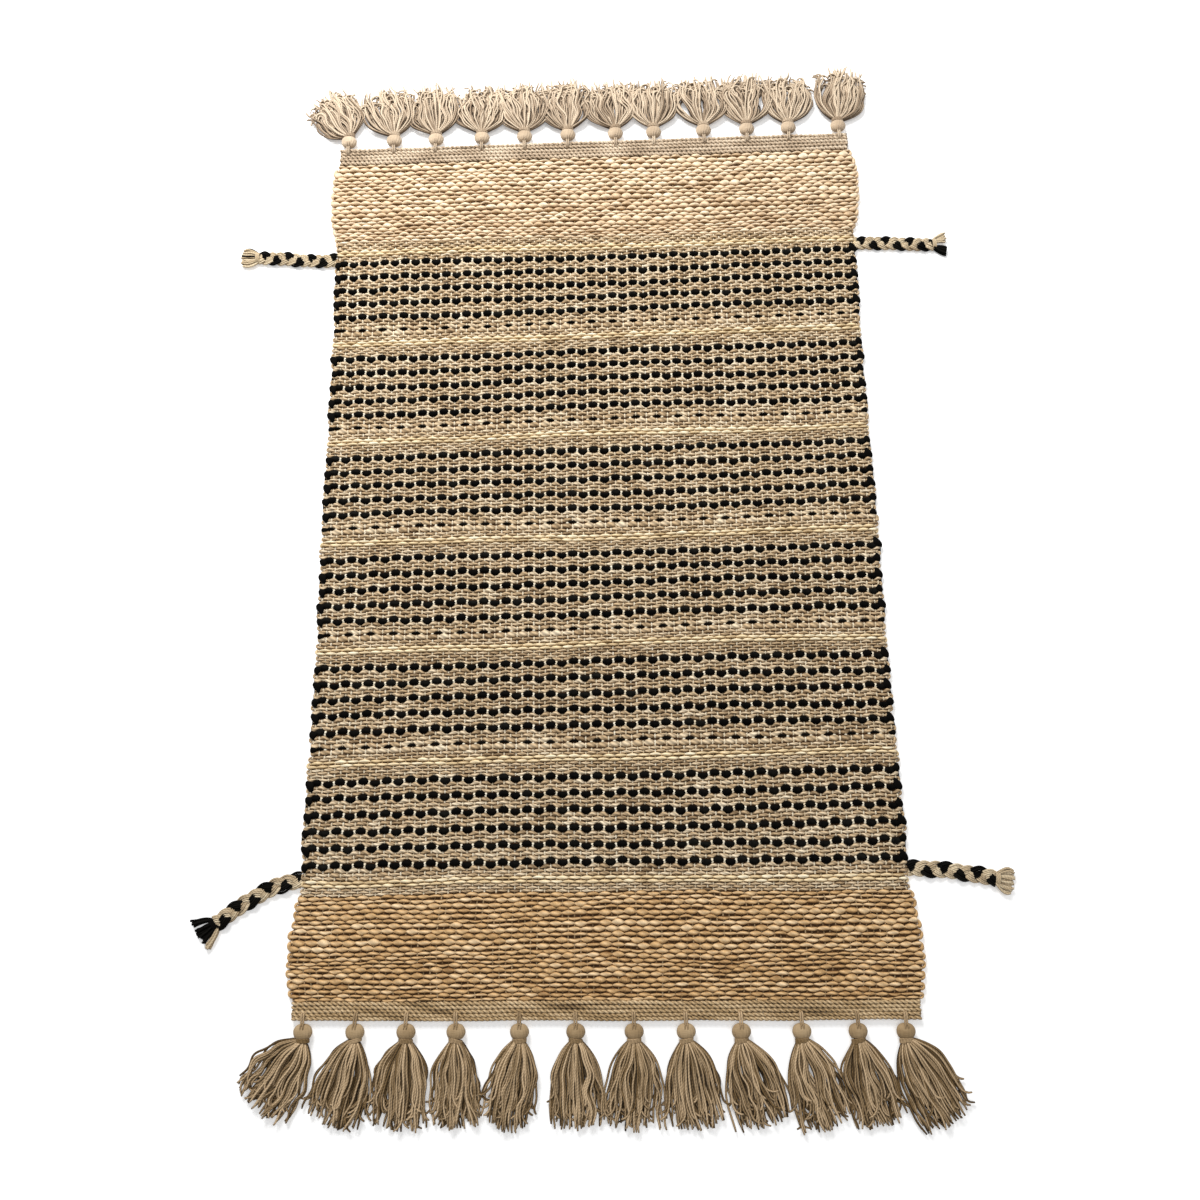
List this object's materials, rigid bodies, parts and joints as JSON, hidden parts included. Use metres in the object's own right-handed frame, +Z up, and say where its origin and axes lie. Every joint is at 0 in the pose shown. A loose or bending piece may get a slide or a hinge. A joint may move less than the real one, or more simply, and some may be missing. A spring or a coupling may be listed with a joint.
{
  "type": "runner rug",
  "caption": "Flat hand-woven runner rug in beige cotton with black dotted rows, jute stripes and jute end bands, tassels along both ends and plaited cords at the field's corners.",
  "frame": {"origin": "the middle of the cloth's underside, on the floor", "axes": "+X to the right across the width, +Y along the length to the far end, +Z up"},
  "size_m": [0.829, 1.1782, 0.0133],
  "materials": {
    "ground_cotton": "matt twisted beige cotton yarn",
    "warp_cotton": "smooth pale cotton thread",
    "black_cotton": "thick matt black cotton yarn",
    "band_jute": "thick golden jute yarn with a slight sheen",
    "stripe_jute": "bright straw-coloured jute yarn with a slight sheen",
    "header_cotton": "twined grey-beige cotton cord",
    "tassel_cotton": "plied beige cotton strands",
    "braid_cotton": "plaited beige and black cotton strands"
  },
  "bodies": {
    "cloth": {"header_far": "header_cotton", "jute_band_far": "band_jute", "jute_stripe_1": "stripe_jute", "jute_stripe_2": "stripe_jute", "jute_stripe_3": "stripe_jute", "jute_stripe_4": "stripe_jute", "jute_stripe_5": "stripe_jute", "jute_stripe_6": "stripe_jute", "jute_stripe_7": "stripe_jute", "ground_weft_1": "ground_cotton", "ground_weft_2": "ground_cotton", "ground_weft_3": "ground_cotton", "ground_weft_4": "ground_cotton", "ground_weft_5": "ground_cotton", "ground_weft_6": "ground_cotton", "black_weft_1": "black_cotton", "black_weft_2": "black_cotton", "black_weft_3": "black_cotton", "black_weft_4": "black_cotton", "black_weft_5": "black_cotton", "black_weft_6": "black_cotton", "jute_band_near": "band_jute", "header_near": "header_cotton", "warp_threads": "warp_cotton", "tassel_loops_far": "warp_cotton", "tassel_loops_near": "warp_cotton"},
    "tassel_far_01": {"tassel_far_01": "tassel_cotton"},
    "tassel_far_02": {"tassel_far_02": "tassel_cotton"},
    "tassel_far_03": {"tassel_far_03": "tassel_cotton"},
    "tassel_far_04": {"tassel_far_04": "tassel_cotton"},
    "tassel_far_05": {"tassel_far_05": "tassel_cotton"},
    "tassel_far_06": {"tassel_far_06": "tassel_cotton"},
    "tassel_far_07": {"tassel_far_07": "tassel_cotton"},
    "tassel_far_08": {"tassel_far_08": "tassel_cotton"},
    "tassel_far_09": {"tassel_far_09": "tassel_cotton"},
    "tassel_far_10": {"tassel_far_10": "tassel_cotton"},
    "tassel_far_11": {"tassel_far_11": "tassel_cotton"},
    "tassel_far_12": {"tassel_far_12": "tassel_cotton"},
    "tassel_near_01": {"tassel_near_01": "tassel_cotton"},
    "tassel_near_02": {"tassel_near_02": "tassel_cotton"},
    "tassel_near_03": {"tassel_near_03": "tassel_cotton"},
    "tassel_near_04": {"tassel_near_04": "tassel_cotton"},
    "tassel_near_05": {"tassel_near_05": "tassel_cotton"},
    "tassel_near_06": {"tassel_near_06": "tassel_cotton"},
    "tassel_near_07": {"tassel_near_07": "tassel_cotton"},
    "tassel_near_08": {"tassel_near_08": "tassel_cotton"},
    "tassel_near_09": {"tassel_near_09": "tassel_cotton"},
    "tassel_near_10": {"tassel_near_10": "tassel_cotton"},
    "tassel_near_11": {"tassel_near_11": "tassel_cotton"},
    "tassel_near_12": {"tassel_near_12": "tassel_cotton"},
    "braid_far_left": {"braid_far_left": "braid_cotton", "tuft_far_left": "braid_cotton"},
    "braid_far_right": {"braid_far_right": "braid_cotton", "tuft_far_right": "braid_cotton"},
    "braid_near_left": {"braid_near_left": "braid_cotton", "tuft_near_left": "black_cotton"},
    "braid_near_right": {"braid_near_right": "braid_cotton", "tuft_near_right": "braid_cotton"}
  },
  "joints": [
    {"name": "tassel_far_01_flip", "type": "hinge", "parent": "cloth", "child": "tassel_far_01", "pos_m": [-0.294, 0.48678, 0.0088], "axis": [1, 0, 0], "range_deg": [0, 145]},
    {"name": "tassel_far_02_flip", "type": "hinge", "parent": "cloth", "child": "tassel_far_02", "pos_m": [-0.24, 0.48818, 0.0088], "axis": [1, 0, 0], "range_deg": [0, 145]},
    {"name": "tassel_far_03_flip", "type": "hinge", "parent": "cloth", "child": "tassel_far_03", "pos_m": [-0.19, 0.48949, 0.0088], "axis": [1, 0, 0], "range_deg": [0, 145]},
    {"name": "tassel_far_04_flip", "type": "hinge", "parent": "cloth", "child": "tassel_far_04", "pos_m": [-0.135, 0.49091, 0.0088], "axis": [1, 0, 0], "range_deg": [0, 145]},
    {"name": "tassel_far_05_flip", "type": "hinge", "parent": "cloth", "child": "tassel_far_05", "pos_m": [-0.084, 0.49224, 0.0088], "axis": [1, 0, 0], "range_deg": [0, 145]},
    {"name": "tassel_far_06_flip", "type": "hinge", "parent": "cloth", "child": "tassel_far_06", "pos_m": [-0.032, 0.49359, 0.0088], "axis": [1, 0, 0], "range_deg": [0, 145]},
    {"name": "tassel_far_07_flip", "type": "hinge", "parent": "cloth", "child": "tassel_far_07", "pos_m": [0.025, 0.49507, 0.0088], "axis": [1, 0, 0], "range_deg": [0, 145]},
    {"name": "tassel_far_08_flip", "type": "hinge", "parent": "cloth", "child": "tassel_far_08", "pos_m": [0.071, 0.49627, 0.0088], "axis": [1, 0, 0], "range_deg": [0, 145]},
    {"name": "tassel_far_09_flip", "type": "hinge", "parent": "cloth", "child": "tassel_far_09", "pos_m": [0.131, 0.49783, 0.0088], "axis": [1, 0, 0], "range_deg": [0, 145]},
    {"name": "tassel_far_10_flip", "type": "hinge", "parent": "cloth", "child": "tassel_far_10", "pos_m": [0.183, 0.49918, 0.0088], "axis": [1, 0, 0], "range_deg": [0, 145]},
    {"name": "tassel_far_11_flip", "type": "hinge", "parent": "cloth", "child": "tassel_far_11", "pos_m": [0.233, 0.50048, 0.0088], "axis": [1, 0, 0], "range_deg": [0, 145]},
    {"name": "tassel_far_12_flip", "type": "hinge", "parent": "cloth", "child": "tassel_far_12", "pos_m": [0.293, 0.50204, 0.0088], "axis": [1, 0, 0], "range_deg": [0, 145]},
    {"name": "tassel_near_01_flip", "type": "hinge", "parent": "cloth", "child": "tassel_near_01", "pos_m": [-0.292, -0.49101, 0.0088], "axis": [-1, 0, 0], "range_deg": [0, 145]},
    {"name": "tassel_near_02_flip", "type": "hinge", "parent": "cloth", "child": "tassel_near_02", "pos_m": [-0.242, -0.49159, 0.0088], "axis": [-1, 0, 0], "range_deg": [0, 145]},
    {"name": "tassel_near_03_flip", "type": "hinge", "parent": "cloth", "child": "tassel_near_03", "pos_m": [-0.193, -0.49217, 0.0088], "axis": [-1, 0, 0], "range_deg": [0, 145]},
    {"name": "tassel_near_04_flip", "type": "hinge", "parent": "cloth", "child": "tassel_near_04", "pos_m": [-0.145, -0.49273, 0.0088], "axis": [-1, 0, 0], "range_deg": [0, 145]},
    {"name": "tassel_near_05_flip", "type": "hinge", "parent": "cloth", "child": "tassel_near_05", "pos_m": [-0.084, -0.49344, 0.0088], "axis": [-1, 0, 0], "range_deg": [0, 145]},
    {"name": "tassel_near_06_flip", "type": "hinge", "parent": "cloth", "child": "tassel_near_06", "pos_m": [-0.03, -0.49407, 0.0088], "axis": [-1, 0, 0], "range_deg": [0, 145]},
    {"name": "tassel_near_07_flip", "type": "hinge", "parent": "cloth", "child": "tassel_near_07", "pos_m": [0.026, -0.49473, 0.0088], "axis": [-1, 0, 0], "range_deg": [0, 145]},
    {"name": "tassel_near_08_flip", "type": "hinge", "parent": "cloth", "child": "tassel_near_08", "pos_m": [0.076, -0.49531, 0.0088], "axis": [-1, 0, 0], "range_deg": [0, 145]},
    {"name": "tassel_near_09_flip", "type": "hinge", "parent": "cloth", "child": "tassel_near_09", "pos_m": [0.129, -0.49593, 0.0088], "axis": [-1, 0, 0], "range_deg": [0, 145]},
    {"name": "tassel_near_10_flip", "type": "hinge", "parent": "cloth", "child": "tassel_near_10", "pos_m": [0.187, -0.49661, 0.0088], "axis": [-1, 0, 0], "range_deg": [0, 145]},
    {"name": "tassel_near_11_flip", "type": "hinge", "parent": "cloth", "child": "tassel_near_11", "pos_m": [0.241, -0.49724, 0.0088], "axis": [-1, 0, 0], "range_deg": [0, 145]},
    {"name": "tassel_near_12_flip", "type": "hinge", "parent": "cloth", "child": "tassel_near_12", "pos_m": [0.287, -0.49778, 0.0088], "axis": [-1, 0, 0], "range_deg": [0, 145]},
    {"name": "braid_far_left_flip", "type": "hinge", "parent": "cloth", "child": "braid_far_left", "pos_m": [-0.30081, 0.3365, 0.0078], "axis": [0, 1, 0], "range_deg": [0, 150]},
    {"name": "braid_far_right_flip", "type": "hinge", "parent": "cloth", "child": "braid_far_right", "pos_m": [0.30106, 0.351, 0.0078], "axis": [0, -1, 0], "range_deg": [0, 150]},
    {"name": "braid_near_left_flip", "type": "hinge", "parent": "cloth", "child": "braid_near_left", "pos_m": [-0.30118, -0.358, 0.0078], "axis": [0, 1, 0], "range_deg": [0, 150]},
    {"name": "braid_near_right_flip", "type": "hinge", "parent": "cloth", "child": "braid_near_right", "pos_m": [0.30111, -0.354, 0.0078], "axis": [0, -1, 0], "range_deg": [0, 150]}
  ]
}
